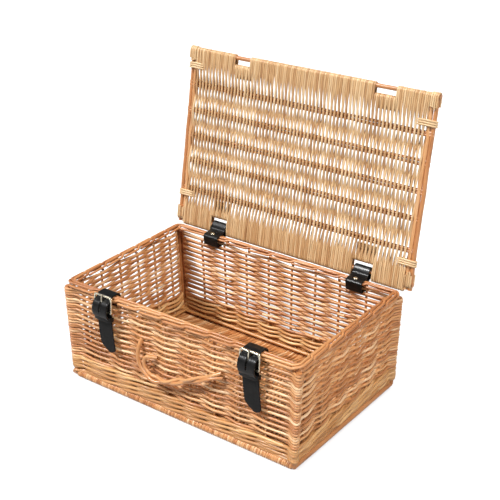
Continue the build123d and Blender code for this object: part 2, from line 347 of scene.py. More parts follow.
class Bundle:
    """Rods gathered into one piece, each a line of points with a radius at every point."""

    def __init__(self, seed, sides=8):
        self.rods = []
        self.sides = sides
        self.draw = random.Random(seed)

    def add(self, points, radii, tone=None):
        if not hasattr(radii, "__len__"):
            radii = [radii] * len(points)
        tone = self.draw.random() if tone is None else tone
        self.rods.append(([Vector(p) for p in points], radii, tone))

    def make(self, name, material, body, slot, stands_for):
        place_piece(name, self.shape(name), material, body, stands_for)

    def shape(self, name):
        curve = bpy.data.curves.new(name + "_line", "CURVE")
        curve.dimensions = "3D"
        curve.twist_mode = "MINIMUM"
        curve.bevel_depth = MM
        curve.bevel_resolution = (self.sides - 4) // 2
        for points, radii, _ in self.rods:
            line = curve.splines.new("POLY")
            line.points.add(len(points) - 1)
            places = [c for p in points for c in (p.x * MM, p.y * MM, p.z * MM, 1.0)]
            line.points.foreach_set("co", places)
            line.points.foreach_set("radius", radii)
        holder = in_scene(name + "_line", curve)
        bpy.context.view_layer.update()
        mesh = bpy.data.meshes.new_from_object(holder)
        bpy.data.objects.remove(holder)
        bpy.data.curves.remove(curve)
        mesh.name = name
        mesh.materials.clear()
        self.mark(mesh)
        close_ends(mesh)
        return mesh

    def mark(self, mesh):
        """Each rod's tone, and each point's place on its rod, for the willow finish."""
        tones = []
        places = []
        turn = 2.0 * math.pi / self.sides
        for points, radii, tone in self.rods:
            run = self.draw.uniform(0.0, FAR_ALONG)
            last = points[0]
            for point, radius in zip(points, radii):
                run += (point - last).length * MM
                last = point
                tones += [tone] * self.sides
                for k in range(self.sides):
                    reach = radius * MM
                    places += [run, reach * math.cos(turn * k), reach * math.sin(turn * k)]
        mesh.attributes.new("rod_tone", "FLOAT", "POINT").data.foreach_set("value", tones)
        space = mesh.attributes.new("rod_space", "FLOAT_VECTOR", "POINT")
        space.data.foreach_set("vector", places)


def close_ends(mesh):
    """Gives each rod flat cut ends."""
    bm = bmesh.new()
    bm.from_mesh(mesh)
    for face in bm.faces:
        face.smooth = True
    rims = [e for e in bm.edges if e.is_boundary]
    for edge in rims:
        edge.smooth = False
    bmesh.ops.holes_fill(bm, edges=rims, sides=0)
    bm.to_mesh(mesh)
    bm.free()


# ------------------------ the walls' own map

# Posts are numbered round the basket from the front left corner, by the front to the right.


def post_shares():
    """Every post's place along x and y, as shares of the post line's half sizes."""
    long_side = sorted(s * x / LONG_WALL_HALF for x in LONG_STAKES for s in (-1.0, 1.0))
    end_side = [y / POST_LINE_Y for y in END_STAKES]
    front = [(-1.0, -1.0)] + [(x, -1.0) for x in long_side]
    right = [(1.0, -1.0)] + [(1.0, y) for y in end_side]
    back = [(1.0, 1.0)] + [(-x, 1.0) for x in long_side]
    left = [(-1.0, 1.0)] + [(-1.0, y) for y in reversed(end_side)]
    return front + right + back + left


SHARES = post_shares()
POSTS = len(SHARES)
CORNERS = tuple(k for k, (x, y) in enumerate(SHARES) if abs(x) == 1.0 and abs(y) == 1.0)
# A rod turns a corner within this share of the way to the next post, round a line this far out of
# the posts' line, and passes the corner post this far out.
CORNER_REACH = 0.10
CORNER_SHIFT = 5.0
CORNER_OUT = 8.5


def wall_of(q):
    """0 on the front wall, 1 on the right, 2 on the back and 3 on the left."""
    return sum(1 for c in CORNERS if c <= q % POSTS) - 1


def wall_half_x(z):
    return HALF_LENGTH - END_LEAN * (1.0 - z / RIM_TOP) - POST_INSET


def step_of(q):
    """The post below q, and how far q is towards the next one."""
    q = q % POSTS
    below = int(math.floor(q))
    t = q - below
    low = CORNER_REACH if below in CORNERS else 0.0
    high = 1.0 - CORNER_REACH if (below + 1) % POSTS in CORNERS else 1.0
    return below, min(1.0, max(0.0, (t - low) / (high - low)))


def spot(q, half_x, half_y):
    """The point at post number q on a rectangle of posts, and which way is out there."""
    q = q % POSTS
    below, t = step_of(q)
    first, last = SHARES[below], SHARES[(below + 1) % POSTS]
    angle = 90.0 * wall_of(below) - 90.0
    since = q - below if below in CORNERS else 1.0
    until = below + 1 - q if (below + 1) % POSTS in CORNERS else 1.0
    if since < CORNER_REACH:
        angle -= 45.0 * (1.0 - since / CORNER_REACH)
    if until < CORNER_REACH:
        angle += 45.0 * (1.0 - until / CORNER_REACH)
    x = lerp(first[0], last[0], t) * half_x
    y = lerp(first[1], last[1], t) * half_y
    return x, y, math.radians(angle)


# Near a corner post a rod comes in to BESIDE_CORNER within a share of the way to the next post.
BESIDE_CORNER = 1.5
LONG_WALL_TURN = 0.27
END_WALL_TURN = 0.48


def between_posts(q, value):
    """value(post) at the posts, eased in between, and drawn out to CORNER_OUT at a corner."""
    below, t = step_of(q)
    above = (below + 1) % POSTS
    if below not in CORNERS and above not in CORNERS:
        return lerp(value(below), value(above), lerp(t, smooth(t), 0.45))
    reach = LONG_WALL_TURN if SHARES[below][1] == SHARES[above][1] else END_WALL_TURN
    away, post = (t, above) if below in CORNERS else (1.0 - t, below)
    beside = lerp(BESIDE_CORNER, value(post), smooth(away))
    return lerp(CORNER_OUT, beside, smooth(away / reach))


def stations(first, last, fine):
    """Post numbers from first to last with fine steps between posts and round the corners."""
    found = [first, last]
    for whole in range(int(math.floor(first)), int(math.ceil(last)) + 1):
        low = CORNER_REACH if whole % POSTS in CORNERS else 0.0
        high = 1.0 - CORNER_REACH if (whole + 1) % POSTS in CORNERS else 1.0
        found.append(float(whole))
        if low:
            bends = (-1.0, -0.66, -0.33, 0.33, 0.66, 1.0)
            found += [whole + CORNER_REACH * part for part in bends]
        found += [whole + lerp(low, high, k / fine) for k in range(1, fine)]
        if low or high < 1.0:
            found += [whole + lerp(low, high, k / fine) for k in (0.5, fine - 0.5)]
    kept = []
    for q in sorted(q for q in found if first <= q <= last):
        if not kept or q - kept[-1] > 0.012:
            kept.append(q)
    return kept


def wall_point(q, z, out):
    """A point of the wall, this far out of the line of posts, with the corners taken tightly."""
    x, y, angle = spot(q, wall_half_x(z) + CORNER_SHIFT, POST_LINE_Y + CORNER_SHIFT)
    out -= CORNER_SHIFT
    return Vector((x + out * math.cos(angle), y + out * math.sin(angle), z))


# ------------------------ wall weave

ROWS = 27
ROW_BOTTOM = 37.9
ROW_TOP = 162.4
# How far the rods bow round the stakes, and how thick they are, on the front, right, back and left.
WEAVE_OUT = (4.0, 4.6, 3.3, 3.6)
WEAVE_SIZE = (0.95, 0.9, 1.05, 1.02)
WEAVE_BUTT = (2.25, 2.55)
WEAVE_TIP = (2.0, 2.25)
# How far past a stake a rod's end runs, as a share of the way to the next, and how far in it tucks.
WEAVE_LAP = (0.16, 0.34)
WEAVE_TUCK = 2.6
WEAVE_SWAY = 0.3
# The rows wander more at the foot than at the top.
ROW_SWAY = (1.5, 0.8)
# A rod's end comes back out over this share of the way to the next stake.
END_REACH = 0.4

# The bottom waling starts low, and has climbed this far after one round; its start is eased.
WALE_LOW = 14.6
WALE_CLIMB = 7.9
WALE_START = 4.5


def swell(q):
    """How much the wale has climbed by post q, which lifts the rows over it."""
    q = q % POSTS
    if q < WALE_START:
        return lerp(WALE_CLIMB, WALE_CLIMB * WALE_START / POSTS, smooth(q / WALE_START))
    return WALE_CLIMB * q / POSTS


def near_end(q, begin, finish):
    """1 at either end of a rod, and 0 from END_REACH along it."""
    return 1.0 - smooth(min(abs(q - begin), abs(finish - q)) / END_REACH)


def weave_side(row):
    """Where this row's rod passes each stake: in front of one and behind the next."""
    def value(post):
        bow = WEAVE_OUT[wall_of(post)]
        return bow if (post + row) % 2 else -bow
    return value


def wall_weave():
    rods = Bundle(11)
    for row in range(ROWS):
        side = weave_side(row)
        share = row / (ROWS - 1)
        seed = 3.1 * row + 1.7
        start = rods.draw.randrange(POSTS)
        while start % POSTS in CORNERS or side(start % POSTS) > 0:
            start += 1
        middle = start + POSTS // 2
        while middle % POSTS in CORNERS or side(middle % POSTS) > 0:
            middle += 1
        for first, last in ((start, middle), (middle, start + POSTS)):
            butt = rods.draw.uniform(*WEAVE_BUTT)
            tip = rods.draw.uniform(*WEAVE_TIP)
            flip = rods.draw.random() < 0.5
            begin = first - rods.draw.uniform(*WEAVE_LAP)
            finish = last + rods.draw.uniform(*WEAVE_LAP)
            points = []
            radii = []
            for q in stations(begin, finish, 8):
                t = (q - begin) / (finish - begin)
                out = between_posts(q, side) + sway(q * 0.55, seed, WEAVE_SWAY)
                out -= WEAVE_TUCK * near_end(q, begin, finish)
                loose = lerp(*ROW_SWAY, share)
                lift = sway(q * 0.4, seed + 40.0, 0.5 * loose)
                lift += sway(q * 1.3, seed + 80.0, 0.2 * loose)
                top = ROW_TOP + BACK_LIFT * smooth(spot(q, 1.0, 1.0)[1])
                height = lerp(ROW_BOTTOM + swell(q), top, share)
                points.append(wall_point(q, height + lift, out))
                size = lerp(tip, butt, t if flip else 1.0 - t) * WEAVE_SIZE[wall_of(q)]
                radii.append(size * (1.0 + sway(q * 1.4, seed + 120.0, 0.07)))
            rods.add(points, radii)
    rods.make(
        "wall_weave", wall_willow, "basket", "peeled_willow",
        ("front_weave", "back_weave", "left_weave", "right_weave"),
    )


# ------------------------ bottom waling

WALE_ROUNDS = 3
WALE_RISE = 2.3
WALE_OUT = 5.0
WALE_TUCK = 2.4
WALE_BUTT = (2.6, 2.95)
WALE_TAPER = 0.14
# Near a corner post a strand comes in to WALE_BESIDE within WALE_TURN of the way to the next post.
WALE_BESIDE = 2.0
WALE_TURN = 0.3
# Thick rods once round the foot, inside and outside the posts: height and how far out.
FOOT_RINGS = ((10.6, -6.2), (12.6, 3.0))
FOOT_RING_RADIUS = 2.9


def wale_path(q, strand):
    """How far out and how high above its round this strand is at post q."""
    below = int(math.floor(q))
    stages = [(below + k - strand) % 3 for k in (0, 1)]
    places = [-WALE_OUT if stage == 2 else WALE_OUT for stage in stages]
    rises = [(-WALE_RISE, WALE_RISE, 0.3)[stage] for stage in stages]
    t = step_of(q)[1]
    rise = lerp(rises[0], rises[1], smooth(t))
    for post, away, place in ((below, t, places[1]), (below + 1, 1.0 - t, places[0])):
        if post % POSTS in CORNERS:
            beside = lerp(WALE_BESIDE, place, smooth(away))
            return lerp(CORNER_OUT, beside, smooth(away / WALE_TURN)), rise
    return lerp(places[0], places[1], smooth(t)), rise


def bottom_waling():
    """Three strands that climb together, each before two stakes and behind the next."""
    rods = Bundle(23)
    length = POSTS * WALE_ROUNDS
    for strand in range(3):
        cuts = [strand - 0.25]
        while cuts[-1] < length:
            cuts.append(cuts[-1] + rods.draw.choice((9, 12, 12, 15)))
        cuts[-1] = length + 1.5 + 1.5 * strand
        for begin, finish in zip(cuts, cuts[1:]):
            finish += 0.45
            seed = begin + 5.7 * strand
            butt = rods.draw.uniform(*WALE_BUTT)
            points = []
            radii = []
            for q in stations(begin, finish, 8):
                out, rise = wale_path(q, strand)
                out += sway(q * 0.6, seed, 0.35) - WALE_TUCK * near_end(q, begin, finish)
                z = WALE_LOW + WALE_CLIMB * q / POSTS + rise
                points.append(wall_point(q, z + sway(q * 0.5, seed + 30.0, 0.4), out))
                radii.append(butt * (1.0 - WALE_TAPER * (q - begin) / (finish - begin)))
            rods.add(points, radii)
    for z, out in FOOT_RINGS:
        ring = stations(0.5, POSTS + 0.48, 5)
        rods.add([wall_point(q, z, out) for q in ring], FOOT_RING_RADIUS, 0.15)
    rods.make("bottom_waling_weave", wale_willow, "basket", "thick_willow", ("bottom_waling",))


# ------------------------ stakes and posts

WALL_NAMES = ("front", "right", "back", "left")
STAKE_SIZE = (1.9, 2.2)
STAKE_TONE = (0.5, 0.95)
STAKE_HEIGHTS = range(8, 170, 12)
POST_HEIGHTS = range(6, 168, 23)
POST_OUT = 4.6


def upright_rods():
    stakes = [Bundle(31 + k) for k in range(4)]
    for q in range(POSTS):
        if q in CORNERS:
            continue
        bundle = stakes[wall_of(q)]
        points = [wall_point(q, z, sway(z * 0.02, q * 1.3, 0.35)) for z in STAKE_HEIGHTS]
        bundle.add(points, bundle.draw.uniform(*STAKE_SIZE), bundle.draw.uniform(*STAKE_TONE))
    for name, bundle in zip(WALL_NAMES, stakes):
        bundle.make(name + "_stake_rods", wall_willow, "basket", "thick_willow", (name + "_stakes",))
    posts = Bundle(37)
    for q in CORNERS:
        posts.add([wall_point(q, z, POST_OUT) for z in POST_HEIGHTS], POST_RADIUS, 0.1)
    posts.make("corner_post_rods", wall_willow, "basket", "thick_willow", ("corner_posts",))


# ------------------------ rolled border

BORDER_RADIUS = 2.25
BORDER_SPREAD = (0.94, 1.06)
BORDER_CORNER = 5.7
# The border rod's angle round the rim where each stake-to-stake run starts and ends. It steps from
# one run to the next over the last BORDER_STEP of the way.
BORDER_RUNS = ((-36.0, 2.0), (40.0, 60.0), (96.0, 112.0), (156.0, 176.0))
BORDER_STEP = 0.16
BORDER_MIDDLE = 171.0
BORDER_OUT = 5.8
BORDER_UP = 4.7
# Each border rod comes up from its stake at this angle, this far out and down from the rim's middle.
BORDER_ROOT = (-60.0, 2.0, 9.6)
BORDER_TONE = (-0.2, 0.45)
# Painted light: the front wall's border rods are toned this much paler than the other walls',
# standing in for the light and highlights falling on the front rim.
FRONT_BORDER_PAINTED_LIGHT = 0.25
# The rim, and the rows under it, stand this much higher at the back.
BACK_LIFT = 0.8


def border_point(q, turn, reach_out, reach_up):
    """A point at angle turn round the rim's middle, with turn 0 outwards and 90 up."""
    x, y, angle = spot(q, RIM_HALF_X - BORDER_CORNER, RIM_HALF_Y - BORDER_CORNER)
    out = reach_out * math.cos(math.radians(turn)) + BORDER_CORNER
    z = BORDER_MIDDLE + reach_up * math.sin(math.radians(turn))
    z += BACK_LIFT * smooth(y / RIM_HALF_Y)
    return Vector((x + out * math.cos(angle), y + out * math.sin(angle), z))


def border_turn(run):
    """The rod's angle after run stakes: nearly level along each, with a step over at each stake."""
    number = min(int(run), len(BORDER_RUNS) - 1)
    low, high = BORDER_RUNS[number]
    turn = lerp(low, high, run - number)
    left = number + 1 - run
    if number + 1 < len(BORDER_RUNS) and left < BORDER_STEP:
        turn = lerp(BORDER_RUNS[number + 1][0], turn, smooth(left / BORDER_STEP))
    return turn


def rim_border():
    rods = Bundle(41)
    for post in range(POSTS):
        size = BORDER_RADIUS * rods.draw.uniform(*BORDER_SPREAD)
        seed = post * 2.9
        span = len(BORDER_RUNS) - rods.draw.uniform(0.06, 0.16)
        points = [border_point(post - 0.06, *BORDER_ROOT)]
        radii = [size]
        for q in stations(post + 0.02, post + span, 12):
            run = q - post
            turn = border_turn(run) + sway(q * 0.7, seed, 4.0)
            out = BORDER_OUT + sway(q * 0.5, seed + 20.0, 0.25)
            points.append(border_point(q, turn, out, BORDER_UP))
            radii.append(size * lerp(1.06, 0.86, run / span))
        # Painted light: only the front wall's border rods get the paler tone.
        light = FRONT_BORDER_PAINTED_LIGHT if post < CORNERS[1] else 0.0
        rods.add(points, radii, light + rods.draw.uniform(*BORDER_TONE))
    rods.make("rolled_border_rods", wall_willow, "basket", "thick_willow", ("rim_border",))


# ------------------------ flat woven panels


class Panel:
    """A flat weave: rods across sticks, bent round the stick at each edge.

    reach is a rod's height over or under the panel's middle. end is the same round an edge stick,
    and how far that stick stands above the middle.
    """

    def __init__(self, sticks, half_pair, reach, bands, edges, turn_back, end=None):
        self.sticks = sticks
        self.half_pair = half_pair
        self.reach = reach
        self.end_reach, self.end_rise = end or (reach, 0.0)
        self.bands = bands
        self.edges = edges
        self.turn_back = turn_back

    def side_at(self, v, parity):
        """Height of a rod over the panel's middle at v, over or under the sticks in turn."""
        line = [(self.bands[0], 1.0)]
        for k, stick in enumerate(self.sticks):
            side = 1.0 if (k + parity) % 2 else -1.0
            line += [(stick - self.half_pair, side), (stick + self.half_pair, side)]
        line += [(self.bands[1], 1.0)]
        if v <= line[0][0] or v >= line[-1][0]:
            return self.reach
        for (a, side_a), (b, side_b) in zip(line, line[1:]):
            if a <= v <= b:
                t = (v - a) / (b - a)
                return self.reach * lerp(side_a, side_b, lerp(t, smooth(t), 0.4))
        return self.reach

    def bend(self, u, slant, edge, hand, rise):
        """Points round the stick at an edge, from the face to the back."""
        points = []
        for part in evenly(0.0, 1.0, 8):
            out = self.end_reach * math.sin(math.pi * part)
            up = self.end_reach * math.cos(math.pi * part)
            points.append((u + slant * part, edge + hand * out, rise + up))
        return points

    def rod(self, u, parity, flip, step, slant):
        """Points of one rod: up the back, over the low edge, across, over the high edge, down."""
        low, high = self.edges
        rise = -self.end_rise if flip else self.end_rise
        steps_back = int(self.turn_back / step)
        points = []
        for k in range(steps_back):
            points.append((u + slant, low + self.turn_back - k * step, -self.reach))
        points += reversed(self.bend(u, slant, low, -1.0, rise))
        for v in evenly(low, high, int((high - low) / step))[1:-1]:
            points.append((u, v, self.side_at(v, parity)))
        points += self.bend(u, slant, high, 1.0, rise)
        for k in range(1, steps_back):
            points.append((u + slant, high - k * step, -self.reach))
        if flip:
            points = [(a, b, -c) for a, b, c in points]
        return points


def lid_place(u, v, w):
    sine = math.sin(LID_LEAN)
    cosine = math.cos(LID_LEAN)
    y = LID_HINGE_Y + v * sine - w * cosine
    return Vector((u, y, LID_HINGE_Z + v * cosine + w * sine))


def base_place(u, v, w):
    return Vector((u, v, BASE_HEIGHT / 2.0 + w))


def in_slot(u, slots, spare=1.4):
    return any(a - spare < u < b + spare for a, b in slots)


LID_RODS = 130
LID_REACH = 3.9
LID_PAIR = 2.6
LID_TURN_BACK = 24.0
LID_BUTT = (1.9, 2.1)
LID_TIP = (1.75, 1.9)
# The short rods bent over the side rods, beside the weave: their first place along the stick, the
# step to the next, their height over the middle, and their length and size.
WRAP_COUNT = 4
WRAP_START = 226.4
WRAP_STEP = 3.35
WRAP_REACH = 5.6
WRAP_LENGTH = (13.0, 21.0)
WRAP_SIZE = (1.6, 1.8)


def end_wrap(u, end, hem, length):
    """A short rod bent round an end stick beside the weave, over the side rods."""
    leg = evenly(end, end - hem * length, 4)
    points = [lid_place(u, v, WRAP_REACH) for v in reversed(leg)]
    for a in evenly(0.0, math.pi, 8)[1:-1]:
        v = end + hem * WRAP_REACH * math.sin(a)
        points.append(lid_place(u, v, WRAP_REACH * math.cos(a)))
    return points + [lid_place(u, v, -WRAP_REACH) for v in leg]


def lid_weave():
    rods = Bundle(53, sides=6)
    for k in range(LID_RODS + 1):
        u = lerp(-LID_WEAVE_HALF, LID_WEAVE_HALF, k / LID_RODS)
        low = LID_BAND_STICKS[0] if in_slot(u, HINGE_SLOTS) else LID_END_STICKS[0] - LID_HEM
        high = LID_BAND_STICKS[1] if in_slot(u, STRAP_SLOTS) else LID_END_STICKS[1]
        panel = Panel(LID_STICKS, LID_PAIR, LID_REACH, LID_BAND_STICKS, (low, high), LID_TURN_BACK)
        seed = 0.37 * k
        butt = rods.draw.uniform(*LID_BUTT)
        tip = rods.draw.uniform(*LID_TIP)
        thick_first = rods.draw.random() < 0.5
        line = panel.rod(u, k, False, 4.6, rods.draw.uniform(-1.2, 1.2))
        points = []
        radii = []
        for number, (a, b, c) in enumerate(line):
            t = number / (len(line) - 1)
            side_drift = sway(b * 0.018, seed, 0.35) + sway(b * 0.06, seed + 50.0, 0.2)
            points.append(lid_place(a + side_drift, b, c))
            radii.append(lerp(tip, butt, t if thick_first else 1.0 - t))
        rods.add(points, radii)
    for hand in (-1.0, 1.0):
        for end, hem in zip(LID_END_STICKS, (-1.0, 1.0)):
            for k in range(WRAP_COUNT):
                u = hand * (WRAP_START + WRAP_STEP * k)
                line = end_wrap(u, end, hem, rods.draw.uniform(*WRAP_LENGTH))
                rods.add(line, rods.draw.uniform(*WRAP_SIZE))
    rods.make("lid_weave_rods", lid_willow, "lid", "lid_willow", ("lid_weave",))


EDGE_STICK_HALF = 239.2
EDGE_STICK_RADIUS = 3.6
CROSS_STICK_HALF = 236.5
CROSS_STICK_RADIUS = 2.6
CROSS_PAIR = (-2.5, 2.5)
# The two rods at each side: where they end, how far in from the lid's edge, and their thickness.
SIDE_ROD_ENDS = (-SIDE_HEM, 301.0)
SIDE_ROD_INSET = 3.8
SIDE_ROD_PITCH = 7.2
SIDE_ROD_SIZE = (3.9, 3.3)


def lid_stick(v, half, wander, size):
    """A line along the lid at v, with a slow wander."""
    steps = enumerate(evenly(-half, half, 24))
    return [lid_place(u, v + sway(k * wander, v, size), 0.0) for k, u in steps]


def lid_sticks():
    ends = Bundle(59)
    for v in LID_END_STICKS:
        ends.add(lid_stick(v, EDGE_STICK_HALF, 0.3, 0.3), EDGE_STICK_RADIUS, 0.25)
    nodes = ("lid_hinge_stick", "lid_front_stick")
    ends.make("lid_edge_stick_rods", wall_willow, "lid", "thick_willow", nodes)
    cross = Bundle(61)
    pairs = [v + half for v in LID_STICKS for half in CROSS_PAIR]
    for v in list(LID_BAND_STICKS) + pairs:
        cross.add(lid_stick(v, CROSS_STICK_HALF, 0.35, 0.5), CROSS_STICK_RADIUS, 0.1)
    cross.make("lid_cross_stick_rods", wall_willow, "lid", "thick_willow", ("lid_cross_sticks",))
    sides = Bundle(67)
    for hand in (-1.0, 1.0):
        for lane in range(2):
            middle = LID_HALF_WIDTH - SIDE_ROD_INSET - SIDE_ROD_PITCH * lane
            points = []
            for k, v in enumerate(evenly(*SIDE_ROD_ENDS, 26)):
                u = hand * (middle + sway(k * 0.25, hand + lane, 0.5))
                points.append(lid_place(u, v, sway(k * 0.3, lane + hand * 3.0, 0.6)))
            sides.add(points, evenly(*SIDE_ROD_SIZE, 26), 0.25 + 0.5 * lane)
    sides.make("lid_side_edge_rods", wall_willow, "lid", "thick_willow", ("lid_side_rods",))


def squared(value):
    """A round swing made flatter at its ends."""
    return math.copysign(abs(value) ** 0.6, value)


# Which side each corner binding is on, and how high.
BINDINGS = ((-1.0, 269.5), (1.0, 254.5), (-1.0, 43.5), (1.0, 33.5))
BINDING_PITCH = 3.6
BINDING_MIDDLE = 223.2
BINDING_HALF = 15.2
BINDING_SLANT = 1.4
BINDING_REACH = 5.6
BINDING_RADIUS = 1.8


def corner_bindings():
    rods = Bundle(71)
    for hand, middle in BINDINGS:
        for turn in (-1, 0, 1):
            points = []
            for a in evenly(0.0, 2.0 * math.pi, 24):
                u = hand * (BINDING_MIDDLE + BINDING_HALF * math.cos(a))
                v = middle + BINDING_PITCH * turn + BINDING_SLANT * math.sin(a)
                points.append(lid_place(u, v, BINDING_REACH * squared(math.sin(a))))
            rods.add(points, BINDING_RADIUS, 0.8)
    rods.make("corner_binding_rods", lid_willow, "lid", "lid_willow", ("lid_corner_bindings",))


BASE_STICKS = (-91.0, -45.5, 0.0, 45.5, 91.0)
BASE_EDGES = (-137.6, 137.6)
BASE_BANDS = (-124.0, 124.0)
BASE_REACH = 3.8
BASE_PAIR = 1.0
BASE_EDGE_TURN = (4.75, 1.15)
BASE_TURN_BACK = 20.0
BASE_RODS = 120
BASE_WEAVE_HALF = 214.0
BASE_ROD_SIZE = (1.85, 2.05)
# Where the base's sticks end along the length, their height over its middle, and their thickness.
BASE_STICK_LINE = (-221.0, 221.0, 0.0, 2.3)
BASE_EDGE_LINE = (-227.0, 220.0, 1.1, 4.4)
END_ROD_X = 218.0
END_ROD_HALF = 139.0
END_ROD_RADIUS = 4.6


def base_panel():
    rods = Bundle(73, sides=6)
    panel = Panel(
        BASE_STICKS, BASE_PAIR, BASE_REACH, BASE_BANDS, BASE_EDGES, BASE_TURN_BACK, BASE_EDGE_TURN,
    )
    for k, u in enumerate(evenly(-BASE_WEAVE_HALF, BASE_WEAVE_HALF, BASE_RODS)):
        line = panel.rod(u, k, True, 5.2, rods.draw.uniform(1.4, 2.6))
        points = [base_place(a + sway(b * 0.02, 0.41 * k, 0.5), b, c) for a, b, c in line]
        rods.add(points, rods.draw.uniform(*BASE_ROD_SIZE))
    rods.make("base_weave_rods", wall_willow, "basket", "peeled_willow", ("base_weave",))
    across = Bundle(79)
    for places, (first, last, height, radius) in (
        (BASE_STICKS, BASE_STICK_LINE), (BASE_EDGES, BASE_EDGE_LINE),
    ):
        for v in places:
            across.add([base_place(u, v, height) for u in evenly(first, last, 20)], radius, 0.3)
    across.make("base_stick_rods", wall_willow, "basket", "thick_willow", ("base_sticks",))
    ends = Bundle(83)
    for hand in (-1.0, 1.0):
        run = enumerate(evenly(-END_ROD_HALF, END_ROD_HALF, 16))
        points = [base_place(hand * END_ROD_X, v, sway(k * 0.4, hand, 0.3)) for k, v in run]
        ends.add(points, END_ROD_RADIUS, 0.2)
    ends.make("base_end_rods_round", wall_willow, "basket", "thick_willow", ("base_end_rods",))


# ------------------------ handle

# Each rod of the bow: how far right, how far below its roots, and how far out from the wall's middle.
BOW_RODS = (
    (
        (-69.0, -3.0, 138.0), (-70.5, 8.0, 144.5), (-71.5, 21.5, 147.0), (-68.5, 34.0, 148.5),
        (-60.0, 45.5, 149.5), (-49.5, 53.5, 150.0), (-36.5, 56.6, 151.5), (-24.0, 55.0, 148.5),
        (-11.5, 51.2, 147.6), (1.0, 47.2, 150.5), (13.0, 41.6, 151.8), (25.5, 35.5, 149.4),
        (38.0, 31.5, 147.6), (52.0, 25.0, 149.6), (65.0, 17.0, 149.6), (78.0, 12.0, 145.6),
        (91.0, 10.0, 140.0),
    ),
    (
        (-41.0, 22.5, 138.0), (-47.5, 20.5, 144.0), (-54.5, 21.5, 146.6), (-59.0, 31.5, 147.6),
        (-55.5, 42.0, 148.0), (-45.0, 49.5, 147.8), (-32.0, 50.6, 147.0), (-20.5, 50.6, 150.6),
        (-9.5, 47.5, 152.0), (2.0, 41.8, 149.0), (12.0, 37.0, 147.0), (24.5, 32.8, 150.4),
        (37.5, 26.0, 151.8), (51.5, 19.0, 148.4), (64.0, 14.5, 146.4), (76.0, 8.0, 146.0),
        (88.0, 2.0, 139.5),
    ),
)
BOW_TOP = 119.0
BOW_SIZES = (3.2, 2.9)
BOW_TONES = (0.35, 0.6)
BOW_TAPER = (1.04, 0.9)
# Two points, in metres, where the bow passes from the basket to the handle. Only their presence is
# read, which leaves the bow on no body.
BOW_BEND = ((0.0, -0.143, 0.121), (0.0, -0.143, 0.101))


def handle_rods():
    rods = Bundle(89, sides=12)
    for knots, size, tone in zip(BOW_RODS, BOW_SIZES, BOW_TONES):
        points = [(x, -out, BOW_TOP - down) for x, down, out in along_path(knots, 6)]
        rods.add(points, [size * part for part in evenly(*BOW_TAPER, len(points) - 1)], tone)
    place_piece(
        "twisted_bow_rods", rods.shape("twisted_bow_rods"), bow_willow, ("basket", "handle"),
        ("handle_outer_rod", "handle_inner_rod"), BOW_BEND,
    )


# ------------------------ leather

HIDE = 2.1
BAND_WIDTH = 30.0
FOLD_WIDTH = 29.0
TAIL_WIDTH = 29.5
# The slit for the prong: how high it runs in the band's front, how far that front is from the
# middle, and how close to the strap's own middle the faces are cut out.
SLIT = (153.0, 173.0)
SLIT_FRONT = 143.0
SLIT_HALF = 1.1
SLIT_COLUMN = 0.08
SLIT_SPREAD = 1.3

# Knots are (sideways, out, up). The band comes over the rim, behind the frame's top bar, out
# through the frame over the pivot bar, and down under the keeper.
BAND = (
    (0.0, 124.4, 152.0), (0.0, 124.3, 165.0), (0.0, 124.6, 174.5), (0.0, 127.8, 178.0),
    (0.0, 134.0, 178.6), (0.0, 141.0, 178.4), (0.0, 144.8, 176.0), (0.0, 145.8, 173.0),
    (0.0, 149.0, 171.2), (0.0, 153.4, 168.6), (0.0, 156.6, 163.4), (0.0, 157.9, 157.0),
    (0.0, 157.2, 150.0), (0.0, 153.8, 143.0), (0.0, 149.0, 137.4),
)
FOLD = ((0.0, 146.9, 170.0), (0.0, 146.6, 158.0), (0.0, 146.4, 145.0), (0.0, 146.2, 136.0))
TAIL = (
    (0.0, 146.6, 136.0), (0.2, 146.6, 131.4), (1.6, 147.3, 116.0), (3.6, 147.6, 100.0),
    (6.0, 147.4, 80.5),
)
HINGE = (
    (3.5, 125.0, 162.4), (3.2, 124.6, 170.0), (2.6, 125.0, 175.6), (2.2, 129.6, 178.4),
    (1.8, 139.5, 179.0), (1.4, 147.0, 181.4), (1.2, 150.8, 187.4), (1.0, 156.0, 192.0),
    (1.0, 160.6, 190.0), (1.2, 161.6, 184.0), (1.4, 157.0, 178.0), (1.8, 149.6, 172.5),
    (2.4, 146.0, 166.5), (3.0, 143.6, 161.4), (3.3, 134.0, 160.4), (3.5, 126.4, 160.6),
    (3.5, 125.0, 162.4),
)
# The keeper's knots are (nothing, sideways, out from its back).
KEEPER = (
    (0.0, -16.4, 0.0), (0.0, -16.6, 5.4), (0.0, -15.0, 8.8), (0.0, -8.0, 10.4), (0.0, 0.0, 10.8),
    (0.0, 8.0, 10.4), (0.0, 15.0, 8.8), (0.0, 16.6, 5.4), (0.0, 16.4, 0.0),
)
KEEPER_BACK = 144.2
KEEPER_MIDDLE = 140.4
KEEPER_HALF = 3.6
KEEPER_TILT = 0.12
KEEPER_HIDE = 1.5


def band_end(t):
    """The two edges of the band: its lower end has rounded corners."""
    half = 1.0 - 0.3 * max(0.0, (t - 0.93) / 0.07) ** 2
    return -half, half


def tail_tip(t):
    """The two edges of the tail: near its tip the left one is cut away on a long slant."""
    left = -1.0 + 1.0 * smooth((t - 0.74) / 0.26) ** 2.2
    right = 1.0 - 0.62 * max(0.0, (t - 0.87) / 0.13) ** 2.4
    return left * 0.97, right * 0.97


def grid_along(line, columns):
    """A flat grid with a row to each point of the line, and each corner's row and share across."""
    bm = bmesh.new()
    rows = len(line) - 1
    bmesh.ops.create_grid(bm, x_segments=columns, y_segments=rows, size=1.0)
    return bm, [(vert, int(round((vert.co.y + 1.0) / 2.0 * rows)), vert.co.x) for vert in bm.verts]


